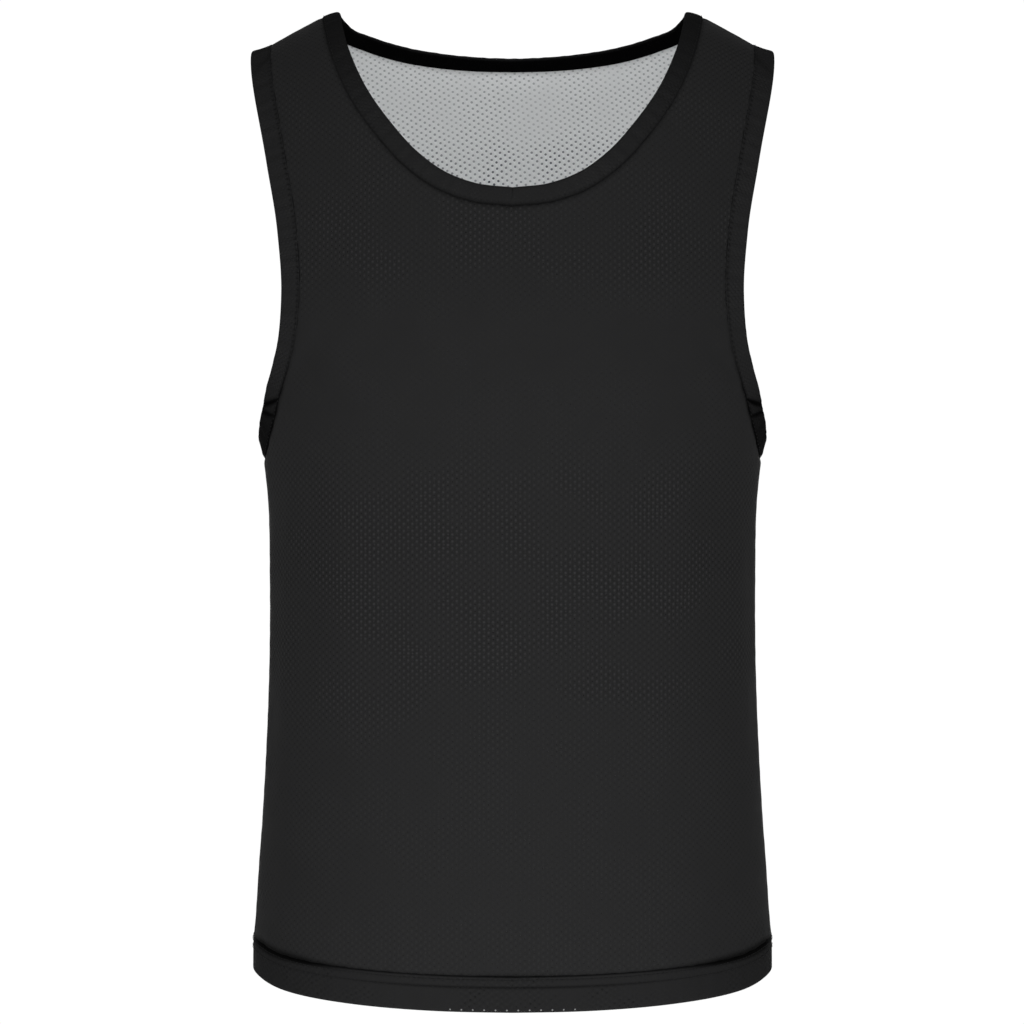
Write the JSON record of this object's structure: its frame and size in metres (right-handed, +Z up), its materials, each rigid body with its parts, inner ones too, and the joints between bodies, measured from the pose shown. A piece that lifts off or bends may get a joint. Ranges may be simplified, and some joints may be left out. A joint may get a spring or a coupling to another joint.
{
  "type": "training bib",
  "caption": "Sleeveless training bib of two mesh layers, black outside and light grey inside, with bound neck and armholes and a turned-up hem, in its hollow worn form.",
  "frame": {"origin": "midway between the two high shoulder points, level with the neck seam on the shoulder line, where the bib hangs on the wearer's shoulders", "axes": "+Z up the body, -Y out of the front, +X to the wearer's left"},
  "size_m": [0.3774, 0.2544, 0.7016],
  "materials": {
    "black_mesh": "matt knitted polyester mesh with small staggered holes, black",
    "black_band": "matt folded knit binding, black",
    "light_mesh": "matt knitted polyester mesh with small staggered holes, light grey"
  },
  "bodies": {
    "root": {"front_panel": "black_mesh", "back_panel": "black_mesh", "front_inner_layer": "light_mesh", "back_inner_layer": "light_mesh", "neck_band": "black_band", "armhole_band_left": "black_band", "armhole_band_right": "black_band", "front_hem": "black_mesh", "back_hem": "black_mesh"}
  },
  "joints": []
}
